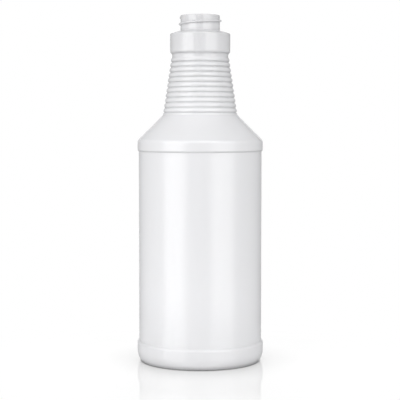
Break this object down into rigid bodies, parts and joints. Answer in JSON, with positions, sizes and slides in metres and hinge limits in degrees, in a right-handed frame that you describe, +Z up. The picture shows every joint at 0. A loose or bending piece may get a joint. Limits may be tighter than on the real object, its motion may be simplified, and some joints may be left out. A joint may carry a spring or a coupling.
{
  "type": "plastic carafe bottle",
  "caption": "Round blow-moulded bottle with a conical shoulder, a ribbed tapering grip neck, a plain collar and a right-hand screw finish, open and empty.",
  "frame": {"origin": "on the bottle's axis, at the level of the standing ring", "axes": "+Z up along the axis to the mouth; X runs along the mould's parting plane and the base seam, -Y is the front"},
  "size_m": [0.0806, 0.0806, 0.2197],
  "materials": {
    "body": "satin white blow-moulded HDPE with a soft gloss"
  },
  "bodies": {
    "root": {"bottle": "body"}
  },
  "joints": []
}
